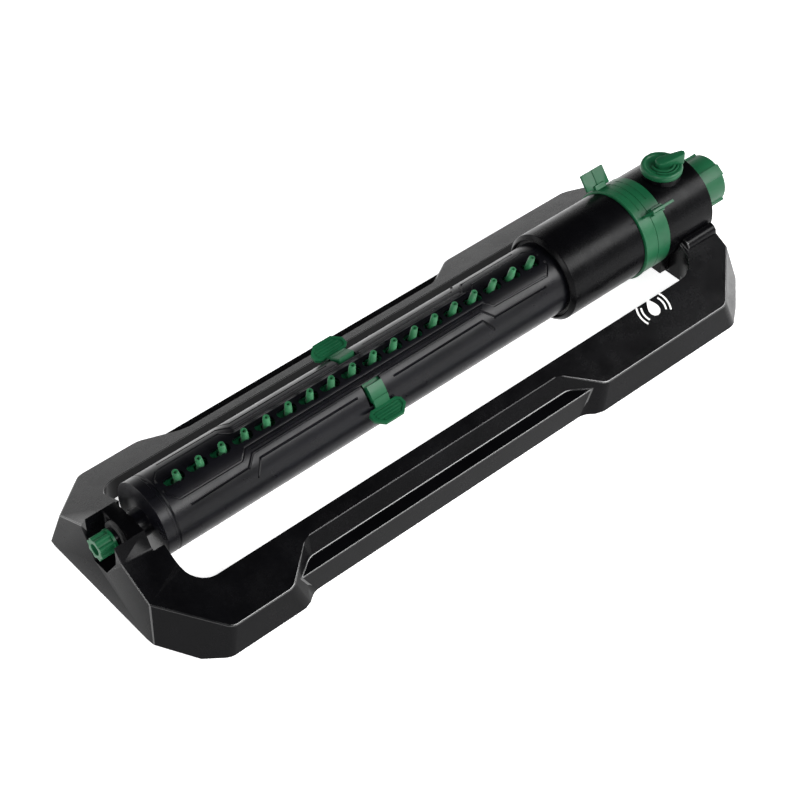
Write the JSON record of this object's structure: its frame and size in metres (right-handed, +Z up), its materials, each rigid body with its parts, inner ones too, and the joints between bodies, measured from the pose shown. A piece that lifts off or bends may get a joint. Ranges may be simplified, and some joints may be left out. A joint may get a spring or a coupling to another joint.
{
  "type": "oscillating lawn sprinkler",
  "caption": "Oscillating lawn sprinkler: moulded base, spray tube with its own water motor, range rings, width sliders, flow knob and hose coupling.",
  "frame": {"origin": "on the ground below the middle of the whole sprinkler", "axes": "+X along the spray tube towards the hose coupling, +Z up, +Y to the side of the left range ring's tab"},
  "size_m": [0.5048, 0.1608, 0.0926],
  "materials": {
    "base_black": "satin moulded",
    "body_black": "satin moulded",
    "housing_black": "satin moulded",
    "cover_black": "satin moulded",
    "nipple_black": "smooth",
    "tube_plastic": "smooth",
    "motor_plastic": "smooth",
    "gear_plastic": "smooth",
    "collar_green": "satin",
    "knob_green": "satin",
    "ring_green": "satin",
    "slider_green": "satin",
    "plug_green": "satin",
    "nozzle_green": "soft matte",
    "seal_rubber": "matte",
    "rotor_rubber": "matte",
    "bush_rubber": "matte",
    "screw_steel": "zinc plated",
    "axle_steel": "ground",
    "spring_steel": "drawn",
    "screen_steel": "stamped"
  },
  "bodies": {
    "base": {"base_frame": "base_black", "end_bush": "bush_rubber", "foot_screws": "screw_steel", "valve_body": "body_black", "inlet_nipple": "nipple_black", "filter_screen": "screen_steel", "fixed_gear": "gear_plastic"},
    "tube": {"drive_housing": "housing_black", "front_seal_ring": "seal_rubber", "motor_case": "motor_plastic", "motor_lid": "motor_plastic", "case_screws": "screw_steel", "jet_plate": "gear_plastic", "main_axle": "axle_steel", "lay_axle": "axle_steel", "trip_spring": "spring_steel", "tube_cover": "cover_black", "inner_tube": "tube_plastic", "tube_o_ring": "seal_rubber", "end_cap": "cover_black", "nozzle_strip_left": "nozzle_green", "nozzle_strip_right": "nozzle_green"},
    "turbine": {"turbine_wheel": "gear_plastic"},
    "gear_one": {"first_gear": "gear_plastic"},
    "gear_two": {"second_gear": "gear_plastic"},
    "gear_three": {"third_gear": "gear_plastic"},
    "trip": {"trip_lever": "gear_plastic", "flap_valve": "gear_plastic"},
    "ring_left": {"range_ring_left": "ring_green"},
    "ring_right": {"range_ring_right": "ring_green"},
    "knob": {"flow_knob": "knob_green", "valve_rotor": "rotor_rubber", "knob_o_ring": "seal_rubber"},
    "collar": {"hose_collar": "collar_green", "hose_washer": "seal_rubber"},
    "slider_left": {"width_slider_left": "slider_green"},
    "slider_right": {"width_slider_right": "slider_green"},
    "plug": {"cleaning_plug": "plug_green", "plug_o_ring": "seal_rubber"}
  },
  "joints": [
    {"name": "tube_oscillation", "type": "hinge", "parent": "base", "child": "tube", "pos_m": [0, 0, 0.0476], "axis": [1, 0, 0], "range_deg": [-55.5, 34.5]},
    {"name": "first_gear_spin", "type": "hinge", "parent": "tube", "child": "gear_one", "pos_m": [0, -0.00233, 0.06019], "axis": [1, 0, 0], "continuous": true},
    {"name": "second_gear_spin", "type": "hinge", "parent": "tube", "child": "gear_two", "pos_m": [0, 0, 0.0476], "axis": [1, 0, 0], "continuous": true},
    {"name": "third_gear_spin", "type": "hinge", "parent": "tube", "child": "gear_three", "pos_m": [0, -0.00233, 0.06019], "axis": [1, 0, 0], "continuous": true},
    {"name": "turbine_spin", "type": "hinge", "parent": "tube", "child": "turbine", "pos_m": [0, 0, 0.0476], "axis": [1, 0, 0], "continuous": true},
    {"name": "trip_lever_swing", "type": "hinge", "parent": "tube", "child": "trip", "pos_m": [0, 0, 0.0476], "axis": [1, 0, 0], "range_deg": [-10, 10]},
    {"name": "range_ring_left_turn", "type": "hinge", "parent": "base", "child": "ring_left", "pos_m": [0, 0, 0.0476], "axis": [1, 0, 0], "range_deg": [-25, 29]},
    {"name": "range_ring_right_turn", "type": "hinge", "parent": "base", "child": "ring_right", "pos_m": [0, 0, 0.0476], "axis": [1, 0, 0], "range_deg": [-29, 25]},
    {"name": "flow_knob_turn", "type": "hinge", "parent": "base", "child": "knob", "pos_m": [0.2042, 0, 0.0805], "axis": [0, 0, 1], "range_deg": [0, 90]},
    {"name": "collar_spin", "type": "hinge", "parent": "base", "child": "collar", "pos_m": [0, 0, 0.0476], "axis": [1, 0, 0], "continuous": true},
    {"name": "width_slider_left_slide", "type": "slide", "parent": "tube", "child": "slider_left", "axis": [1, 0, 0], "range_m": [-0.002, 0]},
    {"name": "width_slider_right_slide", "type": "slide", "parent": "tube", "child": "slider_right", "axis": [1, 0, 0], "range_m": [-0.002, 0]},
    {"name": "plug_turn", "type": "hinge", "parent": "tube", "child": "plug", "pos_m": [0, 0, 0.0476], "axis": [1, 0, 0], "continuous": true}
  ],
  "couplings": [
    {"joint": "first_gear_spin", "follows": "tube_oscillation", "ratio": 1.6667},
    {"joint": "second_gear_spin", "follows": "tube_oscillation", "ratio": -3.6667},
    {"joint": "third_gear_spin", "follows": "tube_oscillation", "ratio": 8.0667},
    {"joint": "turbine_spin", "follows": "tube_oscillation", "ratio": -17.747}
  ]
}
